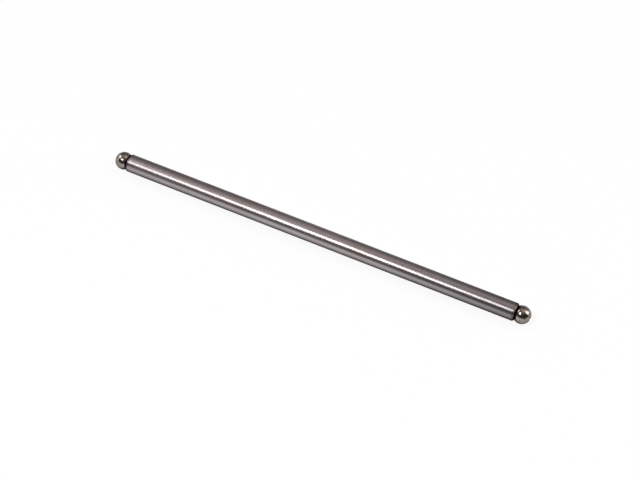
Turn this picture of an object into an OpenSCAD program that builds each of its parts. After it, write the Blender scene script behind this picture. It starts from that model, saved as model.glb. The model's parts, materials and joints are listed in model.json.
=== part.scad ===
// Engine pushrod: a hollow steel tube with a drilled ball tip pressed into each end.
// Millimetres. The rod lies along X, centred on the origin; +X is the rocker end, -X the lifter end.

/* [Pushrod] */
// Length over the two finished ball tips
overall_length = 197.97; // [120:0.01:300]

/* [Tube] */
// Outside diameter of the tube
tube_d = 7.94; // [7:0.01:9.5]
// Wall thickness of the tube
tube_wall = 1.52; // [1.1:0.01:2.2]
// Edge break on the outer corner of each tube end
tube_chamfer = 0.3; // [0.05:0.05:0.5]
// Lead-in chamfer at each mouth of the bore
bore_chamfer = 0.25; // [0.05:0.05:0.4]

/* [Ball tip] */
// Diameter of the ball
ball_d = 7.94; // [6.6:0.01:12]
// Width of the shoulder that bears on the tube's end, outside the bore's lead-in
seat_width = 0.45; // [0.2:0.05:0.7]
// Straight length of the neck between the tube's end and its fillet
neck_length = 0.21; // [0.05:0.01:2]
// Fillet where the neck runs out into the ball
neck_fillet = 0.25; // [0.05:0.05:0.8]
// Length of the shank pressed into the bore
shank_length = 9.5; // [4:0.5:20]
// Lead-in chamfer on the shank's inner end
shank_lead = 0.5; // [0.1:0.05:0.8]
// Radial allowance between the shank and the bore
shank_clearance = 0.01; // [0:0.005:0.05]

/* [Oil passage] */
// Diameter of the oil hole drilled through each tip
oil_hole_d = 2.4; // [1:0.1:3]
// Edge break at the oil hole's mouth
mouth_break = 0.2; // [0.05:0.05:0.5]

/* [Hidden] */
$fn = 96;

// Surplus that carries a cut clear of the face it breaks through
overcut = 1;

bore_r = tube_d / 2 - tube_wall;
shank_r = bore_r - shank_clearance;
neck_r = bore_r + bore_chamfer + seat_width;
ball_r = ball_d / 2;
oil_r = oil_hole_d / 2;
mouth_r = oil_r + mouth_break;

// The fillet's arc touches the neck's side and the ball: its centre lies one fillet radius outside both.
// The ball's height is rounded down to 0.0001 mm, so that the two arcs always meet.
fillet_x = neck_r + neck_fillet;
ball_y = floor(10000 * (neck_length + sqrt(pow(ball_r + neck_fillet, 2) - pow(fillet_x, 2)))) / 10000;

// Height of the finished tip above the tube's end, at the rim of the oil hole's mouth
tip_height = ball_y + sqrt(pow(ball_r, 2) - pow(mouth_r, 2));

// Distance from the rod's middle to each tube end, where the tips' shoulders bear
seat = overall_length / 2 - tip_height;

// Half section of the tube wall, radius along x, centred on the rod's middle.
module tube_section() {
    outer_r = tube_d / 2;
    polygon([
        [bore_r, bore_chamfer - seat],
        [bore_r + bore_chamfer, -seat],
        [outer_r - tube_chamfer, -seat],
        [outer_r, tube_chamfer - seat],
        [outer_r, seat - tube_chamfer],
        [outer_r - tube_chamfer, seat],
        [bore_r + bore_chamfer, seat],
        [bore_r, seat - bore_chamfer]
    ]);
}

// Half disc of the ball on the tip's axis, cut off where the neck takes over.
module ball_section() {
    intersection() {
        translate([0, ball_y]) circle(r = ball_r);
        translate([0, neck_length]) square([ball_r, ball_y - neck_length + ball_r]);
    }
}

// Neck between the tube's end and the ball, with the fillet that runs out into the ball.
module neck_section() {
    square([neck_r, ball_y]);
    difference() {
        polygon([[0, neck_length], [fillet_x, neck_length], [0, ball_y]]);
        translate([fillet_x, neck_length]) circle(r = neck_fillet);
    }
}

// Shank below the shoulder, with its lead-in.
module shank_section() {
    polygon([
        [0, 0],
        [0, -shank_length],
        [shank_r - shank_lead, -shank_length],
        [shank_r, shank_lead - shank_length],
        [shank_r, 0]
    ]);
}

// Everything the drill and the countersink take out along the axis.
module oil_passage_section() {
    polygon([
        [0, -shank_length - overcut],
        [oil_r, -shank_length - overcut],
        [oil_r, tip_height - mouth_break],
        [mouth_r + overcut, tip_height + overcut],
        [0, tip_height + overcut]
    ]);
}

// One ball tip, standing on its shoulder at z = 0 with the ball upwards.
module ball_tip() {
    rotate_extrude() difference() {
        union() {
            ball_section();
            neck_section();
            shank_section();
        }
        oil_passage_section();
    }
}

module tube() {
    color("#a39e9f") rotate([0, 90, 0]) rotate_extrude() tube_section();
}

module rocker_tip() {
    color("#8d8376") translate([seat, 0, 0]) rotate([0, 90, 0]) ball_tip();
}

module lifter_tip() {
    color("#8d8376") translate([-seat, 0, 0]) rotate([0, -90, 0]) ball_tip();
}

tube();
rocker_tip();
lifter_tip();
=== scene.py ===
"""Engine pushrod on a white studio table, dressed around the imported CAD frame.

The rod lies along X with its rocker end at +X. Sizes are in millimetres where a name ends in _mm, and in
metres everywhere else.
"""

import json
import logging
import math
from dataclasses import dataclass
from enum import Enum
from typing import Any

import bpy
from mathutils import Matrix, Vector


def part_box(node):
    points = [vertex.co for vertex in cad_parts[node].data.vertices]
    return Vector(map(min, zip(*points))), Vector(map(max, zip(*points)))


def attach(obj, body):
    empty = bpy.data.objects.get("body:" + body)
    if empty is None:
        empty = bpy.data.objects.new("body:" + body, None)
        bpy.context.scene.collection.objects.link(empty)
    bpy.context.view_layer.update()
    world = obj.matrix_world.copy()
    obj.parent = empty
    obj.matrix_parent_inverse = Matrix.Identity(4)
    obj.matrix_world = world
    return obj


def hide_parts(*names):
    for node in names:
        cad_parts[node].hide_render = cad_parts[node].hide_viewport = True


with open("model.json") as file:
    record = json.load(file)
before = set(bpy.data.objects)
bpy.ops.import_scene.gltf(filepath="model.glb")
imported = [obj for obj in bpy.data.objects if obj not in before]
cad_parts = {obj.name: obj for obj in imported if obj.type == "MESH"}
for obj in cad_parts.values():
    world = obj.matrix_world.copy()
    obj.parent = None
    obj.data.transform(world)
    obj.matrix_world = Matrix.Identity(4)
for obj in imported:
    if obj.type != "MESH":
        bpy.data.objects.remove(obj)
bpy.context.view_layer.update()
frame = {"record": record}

log = logging.getLogger("pushrod")

MM = 0.001
BODY = "root"


class Slot(Enum):
    """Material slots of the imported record."""

    GROUND_STEEL = "ground_steel"
    POLISHED_STEEL = "polished_steel"


class End(Enum):
    """The two ends of the rod; the value is the way that end's ball points along X."""

    ROCKER = 1
    LIFTER = -1

    @property
    def label(self) -> str:
        """The end's name as the record's nodes and mounts spell it."""
        return self.name.lower()


class LampShape(Enum):
    """Outlines that a soft lamp can have, by Blender's names for them."""

    RECTANGLE = "RECTANGLE"
    ELLIPSE = "ELLIPSE"


def linear(hex_colour: str) -> tuple[float, float, float, float]:
    """Turn an sRGB hex colour into linear light.

    Args:
        hex_colour: six hex digits after a hash sign.

    Returns:
        Red, green, blue and an alpha of 1.
    """
    channels = [int(hex_colour[i:i + 2], 16) / 255 for i in (1, 3, 5)]
    light = [c / 12.92 if c <= 0.04045 else ((c + 0.055) / 1.055) ** 2.4 for c in channels]
    return light[0], light[1], light[2], 1.0


def add_node(tree: bpy.types.NodeTree, kind: str, inputs: dict[Any, Any] | None = None,
             **settings: Any) -> bpy.types.Node:
    """Add a node, set its properties and feed its inputs.

    Args:
        tree: node tree that gets the node.
        kind: Blender's type name for the node.
        inputs: by name or index, an output socket to link or a value to set.
        settings: properties of the node.

    Returns:
        The new node.
    """
    node = tree.nodes.new(kind)
    for name, value in settings.items():
        setattr(node, name, value)
    for key, value in (inputs or {}).items():
        if isinstance(value, bpy.types.NodeSocket):
            tree.links.new(value, node.inputs[key])
        else:
            node.inputs[key].default_value = value
    return node


def empty_material(name: str) -> bpy.types.Material:
    """Make a material with no nodes yet.

    Args:
        name: what the real material is called.

    Returns:
        The new material.
    """
    made = bpy.data.materials.new(name)
    made.use_nodes = True
    made.node_tree.nodes.clear()
    return made


def mount(name: str) -> dict[str, Any]:
    """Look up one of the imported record's mounts.

    Args:
        name: the mount's name.

    Returns:
        The mount's entry in the record.
    """
    return next(m for m in frame["record"]["mounts"] if m["name"] == name)


@dataclass(frozen=True)
class GroundSteel:
    """Centreless-ground steel tube, lightly oiled.

    The wheel leaves fine marks round the tube, so a highlight smears along the rod and stays narrow across
    it. The tube darkens slowly towards its rocker end, and is darker in a ring at each end.
    """

    half_length: float
    colour: str = "#b8aeb0"
    roughness: float = 0.352
    roughness_spread: float = 0.03
    # The marks shade each other where the tube turns away from the eye.
    grazing: str = "#404040"
    # A quarter turn lays the wide side of the highlight along the rod.
    anisotropy: float = 0.55
    highlight_turn: float = 0.25
    # Real marks are some 0.02 mm wide; they are drawn about as coarse as a pixel so that they show.
    mark_width_mm: float = 0.4
    mark_length_mm: float = 6.0
    mark_depth_mm: float = 0.00035
    # Noise levels between which the marks go from smoothest to roughest.
    mark_levels: tuple[float, float] = (0.3, 0.7)
    stain_colour: str = "#b2a5a2"
    stain_width_mm: float = 14.0
    # Noise levels between which a stain begins and is full.
    stain_levels: tuple[float, float] = (0.4, 0.7)
    end_darkening_colour: str = "#979092"
    # Where along the rod the darkening begins and where it is at its darkest.
    darkening_mm: tuple[float, float] = (12.0, 85.0)
    end_ring_colour: str = "#7e7474"
    # How far each ring reaches from its end of the tube.
    end_ring_mm: float = 0.9

    def material(self) -> bpy.types.Material:
        """Build the finish.

        Returns:
            The material of the tube.
        """
        made = empty_material("Ground steel")
        tree = made.node_tree
        place = add_node(tree, "ShaderNodeTexCoord").outputs["Object"]
        across = 1 / (self.mark_width_mm * MM)
        around = 1 / (self.mark_length_mm * MM)
        stretched = add_node(tree, "ShaderNodeMapping", {
            "Vector": place, "Scale": (across, around, around)})
        marks = add_node(tree, "ShaderNodeTexNoise", {
            "Vector": stretched.outputs["Vector"], "Scale": 1.0, "Detail": 3.0, "Roughness": 0.6})
        patches = add_node(tree, "ShaderNodeTexNoise", {
            "Vector": place, "Scale": 1 / (self.stain_width_mm * MM), "Detail": 2.0})
        smoothest, roughest = self.mark_levels
        rough = add_node(tree, "ShaderNodeMapRange", {
            "Value": marks.outputs["Fac"], "From Min": smoothest, "From Max": roughest,
            "To Min": self.roughness - self.roughness_spread,
            "To Max": self.roughness + self.roughness_spread})
        stain_start, stain_full = self.stain_levels
        stained = add_node(tree, "ShaderNodeMapRange", {
            "Value": patches.outputs["Fac"], "From Min": stain_start, "From Max": stain_full})
        tint = add_node(tree, "ShaderNodeMix", {
            "Factor": stained.outputs["Result"], "A": linear(self.colour), "B": linear(self.stain_colour)},
            data_type="RGBA")
        axes = add_node(tree, "ShaderNodeSeparateXYZ", {"Vector": place})
        film_start, film_full = self.darkening_mm
        # The colour darkens along the rod towards the rocker end.
        darkening_share = add_node(tree, "ShaderNodeMapRange", {
            "Value": axes.outputs["X"], "From Min": film_start * MM, "From Max": film_full * MM})
        darkened = add_node(tree, "ShaderNodeMix", {
            "Factor": darkening_share.outputs["Result"], "A": tint.outputs["Result"], "B": linear(self.end_darkening_colour)},
            data_type="RGBA")
        # The last of the tube at each end is given a darker colour.
        from_middle = add_node(tree, "ShaderNodeMath", {0: axes.outputs["X"]}, operation="ABSOLUTE")
        in_end_ring = add_node(tree, "ShaderNodeMath", {
            0: from_middle.outputs["Value"], 1: self.half_length - self.end_ring_mm * MM},
            operation="GREATER_THAN")
        ringed = add_node(tree, "ShaderNodeMix", {
            "Factor": in_end_ring.outputs["Value"], "A": darkened.outputs["Result"],
            "B": linear(self.end_ring_colour)}, data_type="RGBA")
        relief = add_node(tree, "ShaderNodeBump", {
            "Height": marks.outputs["Fac"], "Strength": 1.0, "Distance": self.mark_depth_mm * MM})
        round_axis = add_node(tree, "ShaderNodeTangent", direction_type="RADIAL", axis="X")
        steel = add_node(tree, "ShaderNodeBsdfPrincipled", {
            "Base Color": ringed.outputs["Result"], "Metallic": 1.0, "Roughness": rough.outputs["Result"],
            "Anisotropic": self.anisotropy, "Anisotropic Rotation": self.highlight_turn,
            "Specular Tint": linear(self.grazing), "Tangent": round_axis.outputs["Tangent"],
            "Normal": relief.outputs["Normal"]})
        add_node(tree, "ShaderNodeOutputMaterial", {"Surface": steel.outputs["BSDF"]})
        return made


@dataclass(frozen=True)
class PolishedSteel:
    """Hardened and polished steel tip: a warm dark mirror, with a neck left black by the heat treatment.

    The black begins just off the seat and ends a little way up the ball, where the polishing begins. The
    polish is uneven, with duller patches about a millimetre wide.
    """

    seat: float
    colour: str = "#b0a39b"
    dull_colour: str = "#90847d"
    dull_mm: float = 1.0
    # Noise levels between which a dull patch begins and is full.
    dull_levels: tuple[float, float] = (0.4, 0.62)
    # The mirror dims a little at a glancing angle.
    grazing: str = "#b8b8b8"
    neck_colour: str = "#1a0e0d"
    roughness: float = 0.16
    neck_roughness: float = 0.5
    # Where the black begins off the tube's end, how far it reaches at the rocker's and the lifter's end,
    # and how softly it begins and ends.
    black_start_mm: float = 0.2
    black_mm: tuple[float, float] = (1.42, 0.95)
    fade_mm: float = 0.25
    # Polishing marks, drawn some ten times coarser than the compound leaves them so that they show.
    swirl_mm: float = 0.25
    swirl_depth_mm: float = 0.0004

    def material(self) -> bpy.types.Material:
        """Build the finish.

        Returns:
            The material of both tips.
        """
        made = empty_material("Polished steel")
        tree = made.node_tree
        place = add_node(tree, "ShaderNodeTexCoord").outputs["Object"]
        axes = add_node(tree, "ShaderNodeSeparateXYZ", {"Vector": place})
        rocker_mm, lifter_mm = self.black_mm
        # A millimetre past the rod's middle on either side, this holds that end's reach of the black.
        black = add_node(tree, "ShaderNodeMapRange", {
            "Value": axes.outputs["X"], "From Min": -MM, "From Max": MM,
            "To Min": self.seat + lifter_mm * MM, "To Max": self.seat + rocker_mm * MM})
        from_middle = add_node(tree, "ShaderNodeMath", {0: axes.outputs["X"]}, operation="ABSOLUTE")
        beyond = add_node(tree, "ShaderNodeMath", {
            0: from_middle.outputs["Value"], 1: black.outputs["Result"]}, operation="SUBTRACT")
        above = add_node(tree, "ShaderNodeMapRange", {
            "Value": beyond.outputs["Value"], "From Min": -self.fade_mm * MM, "From Max": 0.0},
            interpolation_type="SMOOTHSTEP")
        start = self.seat + self.black_start_mm * MM
        below = add_node(tree, "ShaderNodeMapRange", {
            "Value": from_middle.outputs["Value"], "From Min": start - self.fade_mm * MM, "From Max": start,
            "To Min": 1.0, "To Max": 0.0}, interpolation_type="SMOOTHSTEP")
        bright = add_node(tree, "ShaderNodeMath", {
            0: above.outputs["Result"], 1: below.outputs["Result"]}, operation="MAXIMUM").outputs["Value"]
        swirls = add_node(tree, "ShaderNodeTexNoise", {
            "Vector": place, "Scale": 1 / (self.swirl_mm * MM), "Detail": 2.0})
        patches = add_node(tree, "ShaderNodeTexNoise", {
            "Vector": place, "Scale": 1 / (self.dull_mm * MM), "Detail": 1.0})
        dull_start, dull_full = self.dull_levels
        dull = add_node(tree, "ShaderNodeMapRange", {
            "Value": patches.outputs["Fac"], "From Min": dull_start, "From Max": dull_full})
        metal = add_node(tree, "ShaderNodeMix", {
            "Factor": dull.outputs["Result"], "A": linear(self.colour), "B": linear(self.dull_colour)},
            data_type="RGBA")
        tint = add_node(tree, "ShaderNodeMix", {
            "Factor": bright, "A": linear(self.neck_colour), "B": metal.outputs["Result"]},
            data_type="RGBA")
        rough = add_node(tree, "ShaderNodeMapRange", {
            "Value": bright, "To Min": self.neck_roughness, "To Max": self.roughness})
        relief = add_node(tree, "ShaderNodeBump", {
            "Height": swirls.outputs["Fac"], "Strength": 1.0, "Distance": self.swirl_depth_mm * MM})
        steel = add_node(tree, "ShaderNodeBsdfPrincipled", {
            "Base Color": tint.outputs["Result"], "Metallic": 1.0, "Roughness": rough.outputs["Result"],
            "Specular Tint": linear(self.grazing), "Normal": relief.outputs["Normal"]})
        add_node(tree, "ShaderNodeOutputMaterial", {"Surface": steel.outputs["BSDF"]})
        return made


@dataclass(frozen=True)
class Corner:
    """A corner of a turned section: its place along the axis, its radius and the rounding of its edge."""

    along: float
    out: float
    edge: float = 0.0


def arc(along: float, out: float, radius: float, start: float, stop: float, steps: int) -> list[Corner]:
    """Place corners along a circular arc of a section.

    Args:
        along: the arc centre's place along the axis.
        out: the arc centre's distance from the axis.
        radius: the arc's radius.
        start: angle of the first corner in radians, from the axis.
        stop: angle of the last corner.
        steps: stretches between the corners.

    Returns:
        The corners, both ends included.
    """
    angles = [start + (stop - start) * i / steps for i in range(steps + 1)]
    return [Corner(along + radius * math.cos(a), out + radius * math.sin(a)) for a in angles]


def soften(corners: list[Corner], steps: int = 4) -> list[Vector]:
    """Round the edges of a closed section.

    Args:
        corners: the section's corners in order.
        steps: stretches on each rounded edge.

    Returns:
        Points in the XZ plane, with X along the axis and Z the radius.
    """
    points = []
    for i, corner in enumerate(corners):
        here = Vector((corner.along, 0, corner.out))
        if corner.edge == 0:
            points.append(here)
            continue
        before = corners[i - 1]
        after = corners[(i + 1) % len(corners)]
        back = (Vector((before.along, 0, before.out)) - here).normalized()
        on = (Vector((after.along, 0, after.out)) - here).normalized()
        half = back.angle(on) / 2
        reach = corner.edge / math.tan(half)
        centre = here + (back + on).normalized() * corner.edge / math.sin(half)
        first = here + back * reach - centre
        last = here + on * reach - centre
        points += [centre + first.slerp(last, k / steps) * corner.edge for k in range(steps + 1)]
    return points


class Lathe:
    """Turns a closed section about the X axis with Geometry Nodes."""

    SEGMENTS = 160
    SHARP_ANGLE = math.radians(25)
    WELD = 1e-6

    def __init__(self) -> None:
        """Build the node tree once, for every turned piece."""
        self.tree = bpy.data.node_groups.new("Turned form", "GeometryNodeTree")
        sockets = {}
        for name, kind in (("Section", "Geometry"), ("Segments", "Int"), ("Sharp angle", "Float"),
                           ("Finish", "Material")):
            made = self.tree.interface.new_socket(name, in_out="INPUT", socket_type="NodeSocket" + kind)
            sockets[name] = made.identifier
        self.tree.interface.new_socket("Geometry", in_out="OUTPUT", socket_type="NodeSocketGeometry")
        self.sockets = sockets
        self._fill()

    def _fill(self) -> None:
        """Add the nodes: one grid row per section point, swung round the axis and welded shut."""
        tree = self.tree
        given = add_node(tree, "NodeGroupInput").outputs
        size = add_node(tree, "GeometryNodeAttributeDomainSize", {"Geometry": given["Section"]})
        count = size.outputs["Point Count"]
        rows = add_node(tree, "ShaderNodeMath", {0: count, 1: 1.0}, operation="ADD")
        columns = add_node(tree, "ShaderNodeMath", {0: given["Segments"], 1: 1.0}, operation="ADD")
        grid = add_node(tree, "GeometryNodeMeshGrid", {
            "Size X": count, "Size Y": given["Segments"], "Vertices X": rows.outputs["Value"],
            "Vertices Y": columns.outputs["Value"]})
        spot = add_node(tree, "ShaderNodeSeparateXYZ", {
            "Vector": add_node(tree, "GeometryNodeInputPosition").outputs["Position"]})
        steps = []
        for axis, total in (("X", count), ("Y", given["Segments"])):
            half = add_node(tree, "ShaderNodeMath", {0: total, 1: 0.5}, operation="MULTIPLY")
            moved = add_node(tree, "ShaderNodeMath", {
                0: spot.outputs[axis], 1: half.outputs["Value"]}, operation="ADD")
            whole = add_node(tree, "ShaderNodeMath", {0: moved.outputs["Value"]}, operation="ROUND")
            wrapped = add_node(tree, "ShaderNodeMath", {
                0: whole.outputs["Value"], 1: total}, operation="MODULO")
            steps.append(wrapped.outputs["Value"])
        section_place = add_node(tree, "GeometryNodeSampleIndex", {
            "Geometry": given["Section"], "Index": steps[0],
            "Value": add_node(tree, "GeometryNodeInputPosition").outputs["Position"]},
            data_type="FLOAT_VECTOR")
        share = add_node(tree, "ShaderNodeMath", {0: steps[1], 1: given["Segments"]}, operation="DIVIDE")
        angle = add_node(tree, "ShaderNodeMath", {
            0: share.outputs["Value"], 1: math.tau}, operation="MULTIPLY")
        swung = add_node(tree, "ShaderNodeVectorRotate", {
            "Vector": section_place.outputs["Value"], "Angle": angle.outputs["Value"]},
            rotation_type="X_AXIS")
        turned = add_node(tree, "GeometryNodeSetPosition", {
            "Geometry": grid.outputs["Mesh"], "Position": swung.outputs["Vector"]})
        welded = add_node(tree, "GeometryNodeMergeByDistance", {
            "Geometry": turned.outputs["Geometry"], "Distance": self.WELD})
        smooth = add_node(tree, "GeometryNodeSetShadeSmooth", {"Geometry": welded.outputs["Geometry"]})
        bend = add_node(tree, "GeometryNodeInputMeshEdgeAngle").outputs["Unsigned Angle"]
        sharp = add_node(tree, "FunctionNodeCompare", {
            0: bend, 1: given["Sharp angle"]}, operation="GREATER_THAN")
        edged = add_node(tree, "GeometryNodeSetShadeSmooth", {
            "Geometry": smooth.outputs["Geometry"], "Selection": sharp.outputs["Result"],
            "Shade Smooth": False}, domain="EDGE")
        real = add_node(tree, "GeometryNodeRealizeInstances", {"Geometry": edged.outputs["Geometry"]})
        dressed = add_node(tree, "GeometryNodeSetMaterial", {
            "Geometry": real.outputs["Geometry"], "Material": given["Finish"]})
        add_node(tree, "NodeGroupOutput", {"Geometry": dressed.outputs["Geometry"]})

    def turn(self, name: str, section: list[Vector], finish: bpy.types.Material) -> bpy.types.Object:
        """Turn a section into a finished mesh.

        Args:
            name: the piece's name.
            section: points of the closed section, anticlockwise with X to the right and Z up.
            finish: the piece's material.

        Returns:
            A plain mesh object at the origin.
        """
        blank = bpy.data.meshes.new(name + "_section")
        edges = [(i, (i + 1) % len(section)) for i in range(len(section))]
        blank.from_pydata(section, edges, [])
        piece = bpy.data.objects.new(name, blank)
        bpy.context.scene.collection.objects.link(piece)
        turning = piece.modifiers.new("Turned form", "NODES")
        turning.node_group = self.tree
        turning[self.sockets["Segments"]] = self.SEGMENTS
        turning[self.sockets["Sharp angle"]] = self.SHARP_ANGLE
        turning[self.sockets["Finish"]] = finish
        graph = bpy.context.evaluated_depsgraph_get()
        mesh = bpy.data.meshes.new_from_object(piece.evaluated_get(graph), depsgraph=graph)
        piece.modifiers.remove(turning)
        piece.data = mesh
        mesh.name = name
        bpy.data.meshes.remove(blank)
        return piece


@dataclass
class Tube:
    """The hollow tube, with an edge break outside and a lead-in chamfer inside at both ends."""

    radius: float
    half_length: float
    wall: float = 1.52 * MM
    chamfer: float = 0.3 * MM
    lead_in: float = 0.25 * MM
    edge: float = 0.05 * MM

    @property
    def bore(self) -> float:
        """Radius of the bore."""
        return self.radius - self.wall

    def section(self) -> list[Vector]:
        """Draw the wall's section.

        Returns:
            Its points, from the bore out round the rocker's end, then in again round the lifter's.
        """
        rims = {}
        for end in End:
            way = end.value
            face = way * self.half_length
            rims[end] = [
                Corner(face - way * self.lead_in, self.bore, self.edge),
                Corner(face, self.bore + self.lead_in, self.edge),
                Corner(face, self.radius - self.chamfer, self.edge),
                Corner(face - way * self.chamfer, self.radius, self.edge),
            ]
        return soften(rims[End.ROCKER] + rims[End.LIFTER][::-1])

    def build(self, lathe: Lathe, finish: GroundSteel) -> bpy.types.Object:
        """Make the tube and tie it to the frame.

        Args:
            lathe: what turns the section.
            finish: the tube's finish.

        Returns:
            The finished piece.
        """
        piece = lathe.turn("ground_tube", self.section(), finish.material())
        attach(piece, BODY)
        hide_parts("tube")
        return piece


@dataclass
class BallTip:
    """One ball tip: ball, undercut neck and press shank, drilled through for oil.

    It is measured from its seat on the tube's end.
    """

    end: End
    seat: float
    ball_centre: float
    hole: float
    bore: float
    bore_lead_in: float
    ball: float = 3.97 * MM
    seat_width: float = 0.45 * MM
    fillet: float = 0.25 * MM
    shank_length: float = 9.5 * MM
    shank_lead: float = 0.5 * MM
    clearance: float = 0.01 * MM
    mouth_break: float = 0.2 * MM
    edge: float = 0.04 * MM

    BALL_STEPS = 72
    FILLET_STEPS = 10

    def section(self) -> list[Vector]:
        """Draw the tip's section in the rod's frame.

        Returns:
            Its points, from the shank's inner end out over the ball and back down the oil hole.
        """
        shank = self.bore - self.clearance
        neck = self.bore + self.bore_lead_in + self.seat_width
        mouth = self.hole + self.mouth_break
        # The fillet's centre lies one fillet radius outside the neck and outside the ball.
        fillet_out = neck + self.fillet
        lean = math.asin(fillet_out / (self.ball + self.fillet))
        fillet_along = self.ball_centre - math.cos(lean) * (self.ball + self.fillet)
        mouth_angle = math.asin(mouth / self.ball)
        mouth_along = self.ball_centre + math.cos(mouth_angle) * self.ball
        corners = [
            Corner(-self.shank_length, self.hole, self.edge),
            Corner(-self.shank_length, shank - self.shank_lead, self.edge),
            Corner(self.shank_lead - self.shank_length, shank, self.edge),
            Corner(0, shank),
            Corner(0, neck, self.edge),
        ]
        corners += arc(fillet_along, fillet_out, self.fillet, -math.pi / 2, -lean, self.FILLET_STEPS)
        corners += arc(self.ball_centre, 0, self.ball, math.pi - lean, mouth_angle, self.BALL_STEPS)[1:]
        corners.append(Corner(mouth_along - self.mouth_break, self.hole, self.edge))
        return [Vector((self.end.value * (self.seat + p.x), 0, p.z)) for p in soften(corners)]

    def build(self, lathe: Lathe, finish: bpy.types.Material) -> bpy.types.Object:
        """Make the tip and tie it to the frame.

        Args:
            lathe: what turns the section.
            finish: the tips' shared material.

        Returns:
            The finished piece.
        """
        section = self.section()
        # At the rocker's end the section runs clockwise, which would turn the faces inwards.
        if self.end is End.ROCKER:
            section.reverse()
        piece = lathe.turn(self.end.label + "_ball_tip", section, finish)
        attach(piece, BODY)
        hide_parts(self.end.label + "_tip")
        return piece


@dataclass(frozen=True)
class Lamp:
    """A soft lamp: which way it lies from the rod, how far off and how large it is, and its brightness."""

    name: str
    direction: tuple[float, float, float]
    distance: float
    width: float
    height: float
    radiance: float
    tint: str = "#ffffff"
    shape: LampShape = LampShape.RECTANGLE

    def build(self) -> bpy.types.Object:
        """Make the lamp, facing the rod.

        Returns:
            The lamp.
        """
        light = bpy.data.lights.new(self.name, "AREA")
        light.shape = self.shape.value
        light.size = self.width
        light.size_y = self.height
        area = self.width * self.height
        if self.shape is LampShape.ELLIPSE:
            area *= math.pi / 4
        light.energy = self.radiance * math.pi * area
        light.color = linear(self.tint)[:3]
        lamp = bpy.data.objects.new(self.name, light)
        way = Vector(self.direction).normalized()
        lamp.location = way * self.distance
        lamp.rotation_euler = way.to_track_quat("Z", "Y").to_euler()
        lamp.visible_camera = False
        bpy.context.scene.collection.objects.link(lamp)
        return lamp


@dataclass(frozen=True)
class Paper:
    """White table paper: even white to the eye, with a share that takes the rod's shadow."""

    colour: str = "#ffffff"
    white: float = 0.88
    shadow_share: float = 0.14
    # The steel sees the paper in a cooler light, and dimmed where the rod covers it.
    mirrored_colour: str = "#f6fbff"
    mirrored_white: float = 0.97
    covered_mm: float = 30.0
    covered_power: float = 3.1
    covered_samples: int = 8
    # Away from the rod's middle, what the steel sees falls off to this share between two distances.
    outer_share: float = 0.55
    outer_mm: tuple[float, float] = (60.0, 160.0)

    def material(self) -> bpy.types.Material:
        """Build the finish.

        Returns:
            The material of the table.
        """
        made = empty_material("White paper")
        tree = made.node_tree
        ray = add_node(tree, "ShaderNodeLightPath").outputs
        mirrored = add_node(tree, "ShaderNodeMath", {
            0: ray["Is Glossy Ray"], 1: ray["Is Transmission Ray"]}, operation="MAXIMUM").outputs["Value"]
        direct = add_node(tree, "ShaderNodeMath", {
            0: ray["Is Camera Ray"], 1: self.white}, operation="MULTIPLY")
        open_sky = add_node(tree, "ShaderNodeAmbientOcclusion", {
            "Distance": self.covered_mm * MM}, samples=self.covered_samples)
        dimmed = add_node(tree, "ShaderNodeMath", {
            0: open_sky.outputs["AO"], 1: self.covered_power}, operation="POWER")
        place = add_node(tree, "ShaderNodeTexCoord").outputs["Object"]
        away = add_node(tree, "ShaderNodeVectorMath", {0: place}, operation="LENGTH").outputs["Value"]
        near, far = self.outer_mm
        falling = add_node(tree, "ShaderNodeMapRange", {
            "Value": away, "From Min": near * MM, "From Max": far * MM,
            "To Min": self.mirrored_white, "To Max": self.mirrored_white * self.outer_share})
        seen = add_node(tree, "ShaderNodeMath", {
            0: dimmed.outputs["Value"], 1: falling.outputs["Result"]}, operation="MULTIPLY")
        strength = add_node(tree, "ShaderNodeMath", {
            0: mirrored, 1: seen.outputs["Value"], 2: direct.outputs["Value"]}, operation="MULTIPLY_ADD")
        tint = add_node(tree, "ShaderNodeMix", {
            "Factor": ray["Is Camera Ray"], "A": linear(self.mirrored_colour), "B": linear(self.colour)},
            data_type="RGBA")
        glow = add_node(tree, "ShaderNodeEmission", {
            "Color": tint.outputs["Result"], "Strength": strength.outputs["Value"]})
        share = (self.shadow_share,) * 3 + (1.0,)
        sheet = add_node(tree, "ShaderNodeBsdfDiffuse", {"Color": share})
        both = add_node(tree, "ShaderNodeAddShader", {
            0: glow.outputs["Emission"], 1: sheet.outputs["BSDF"]})
        add_node(tree, "ShaderNodeOutputMaterial", {"Surface": both.outputs["Shader"]})
        return made


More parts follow.
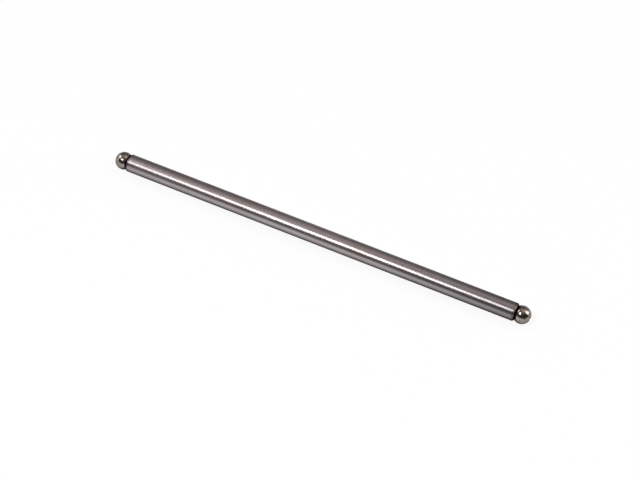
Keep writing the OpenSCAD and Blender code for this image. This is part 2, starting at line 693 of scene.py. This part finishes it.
@dataclass(frozen=True)
class PalePart:
    """A pale part of the dim room: which way it lies from the rod, how wide and how bright it is.

    It is even out to its core and fades to nothing at its edge, both in degrees from its middle. A low part
    also fades out between two heights, in degrees above the table.
    """

    direction: tuple[float, float, float]
    core: float
    edge: float
    radiance: float
    # Nothing lies higher than 90 degrees, so by default no part fades with height.
    heights: tuple[float, float] = (90.0, 91.0)
    tint: str = "#ffffff"

    def light(self, tree: bpy.types.NodeTree, way: bpy.types.NodeSocket) -> bpy.types.NodeSocket:
        """Add the nodes that give this part's light.

        Args:
            tree: the room's node tree.
            way: the direction that is looked along.

        Returns:
            The light as a colour.
        """
        middle = add_node(tree, "ShaderNodeVectorMath", {
            0: way, 1: Vector(self.direction).normalized()}, operation="DOT_PRODUCT")
        inside = add_node(tree, "ShaderNodeMapRange", {
            "Value": middle.outputs["Value"], "From Min": math.cos(math.radians(self.edge)),
            "From Max": math.cos(math.radians(self.core))}, interpolation_type="SMOOTHSTEP")
        low, high = self.heights
        up = add_node(tree, "ShaderNodeSeparateXYZ", {"Vector": way}).outputs["Z"]
        angle = add_node(tree, "ShaderNodeMath", {0: up}, operation="ARCSINE")
        below = add_node(tree, "ShaderNodeMapRange", {
            "Value": angle.outputs["Value"], "From Min": math.radians(low), "From Max": math.radians(high),
            "To Min": self.radiance, "To Max": 0.0}, interpolation_type="SMOOTHSTEP")
        strength = add_node(tree, "ShaderNodeMath", {
            0: inside.outputs["Result"], 1: below.outputs["Result"]}, operation="MULTIPLY")
        part = add_node(tree, "ShaderNodeVectorMath", {
            0: linear(self.tint)[:3], "Scale": strength.outputs["Value"]}, operation="SCALE")
        return part.outputs["Vector"]


@dataclass
class Studio:
    """The white table, the soft lamps round it and the dim room behind them."""

    table_height: float
    table_reach: float = 6.0
    room_grey: float = 0.06

    LAMPS = (
        Lamp("key_lamp", (-0.205, -0.474, 0.857), distance=1.6, width=0.45, height=0.38, radiance=22.5,
             shape=LampShape.ELLIPSE),
        Lamp("left_softbox", (-0.77, 0.045, 0.637), distance=4.0, width=1.5, height=1.75, radiance=2.95),
        Lamp("left_card", (-0.49, -0.4, 0.774), distance=1.6, width=0.45, height=0.45, radiance=1.0),
        Lamp("right_softbox", (0.772, 0.443, 0.456), distance=1.6, width=0.9, height=1.2, radiance=3.0),
        Lamp("overhead_softbox", (0.195, 0.373, 0.906), distance=1.6, width=0.9, height=0.8, radiance=0.5,
             tint="#fff1e6"),
    )
    # The ceiling behind the rod, the walls on the left and at the back, and low boards behind and in front.
    ROOM = (
        PalePart((0.0, 0.4, 0.92), core=12.0, edge=58.0, radiance=0.29, tint="#fff6f2"),
        PalePart((-0.98, 0.06, 0.19), core=12.0, edge=43.0, radiance=0.68),
        PalePart((0.6, 0.79, 0.1), core=15.0, edge=55.0, radiance=0.16),
        PalePart((-0.45, 0.89, 0.0), core=40.0, edge=65.0, radiance=0.11, heights=(6.0, 22.0)),
        PalePart((-0.55, -0.835, 0.0), core=54.0, edge=68.0, radiance=0.46, heights=(6.0, 15.0)),
    )

    def build(self) -> None:
        """Make the table, the lamps and the room."""
        reach = self.table_reach
        sheet = bpy.data.meshes.new("table")
        signs = ((-1, -1), (1, -1), (1, 1), (-1, 1))
        corners = [(x * reach, y * reach, self.table_height) for x, y in signs]
        sheet.from_pydata(corners, [], [(0, 1, 2, 3)])
        table = bpy.data.objects.new("table", sheet)
        sheet.materials.append(Paper().material())
        bpy.context.scene.collection.objects.link(table)
        for lamp in self.LAMPS:
            lamp.build()
        self._room()

    def _room(self) -> None:
        """Make the dim room and its pale parts."""
        world = bpy.data.worlds.new("Studio room")
        bpy.context.scene.world = world
        world.use_nodes = True
        tree = world.node_tree
        tree.nodes.clear()
        way = add_node(tree, "ShaderNodeTexCoord").outputs["Generated"]
        light = (self.room_grey,) * 3
        for pale in self.ROOM:
            total = add_node(tree, "ShaderNodeVectorMath", {
                0: light, 1: pale.light(tree, way)}, operation="ADD")
            light = total.outputs["Vector"]
        back = add_node(tree, "ShaderNodeBackground", {"Color": light, "Strength": 1.0})
        add_node(tree, "ShaderNodeOutputWorld", {"Surface": back.outputs["Background"]})


@dataclass
class PhotoCamera:
    """The camera, placed by the rod's outline in a picture of 640 by 480 pixels."""

    azimuth: float = math.radians(25.907)
    elevation: float = math.radians(52.986)
    distance: float = 0.8128
    aim: tuple[float, float, float] = (2.247 * MM, -1.717 * MM, 0.0)
    focal_px: float = 1887.6
    picture_px: float = 640.0
    sensor_mm: float = 36.0
    # Nearest and farthest that the camera sees.
    clip: tuple[float, float] = (0.01, 50.0)

    def build(self) -> bpy.types.Object:
        """Make the camera and set it as the scene's own.

        Returns:
            The camera.
        """
        back = Vector((
            math.sin(self.azimuth) * math.cos(self.elevation),
            -math.cos(self.azimuth) * math.cos(self.elevation),
            math.sin(self.elevation)))
        lens = bpy.data.cameras.new("photo_camera")
        lens.sensor_width = self.sensor_mm
        lens.lens = self.focal_px * self.sensor_mm / self.picture_px
        lens.clip_start, lens.clip_end = self.clip
        camera = bpy.data.objects.new("photo_camera", lens)
        camera.location = Vector(self.aim) + back * self.distance
        camera.rotation_euler = (-back).to_track_quat("-Z", "Y").to_euler()
        bpy.context.scene.collection.objects.link(camera)
        bpy.context.scene.camera = camera
        return camera


def main() -> None:
    """Build the rod, the studio and the camera."""
    logging.basicConfig(level=logging.INFO, format="%(name)s: %(message)s")
    bpy.context.scene.view_settings.view_transform = "Standard"
    lathe = Lathe()
    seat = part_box("tube")[1].x
    tube = Tube(radius=mount("shank")["dims"]["r_mm"] * MM, half_length=seat)
    pieces = [tube.build(lathe, GroundSteel(half_length=seat))]
    polish = PolishedSteel(seat=seat).material()
    for end in End:
        ball_place = abs(mount(end.label + "_ball")["pos_m"][0])
        hole = mount(end.label + "_oil_port")["dims"]["r_mm"] * MM
        tip = BallTip(end=end, seat=seat, ball_centre=ball_place - seat, hole=hole, bore=tube.bore,
                      bore_lead_in=tube.lead_in)
        pieces.append(tip.build(lathe, polish))
    for piece in pieces:
        log.info("%s: %d faces", piece.name, len(piece.data.polygons))
    Studio(table_height=-tube.radius).build()
    PhotoCamera().build()


if __name__ == "__main__":
    main()
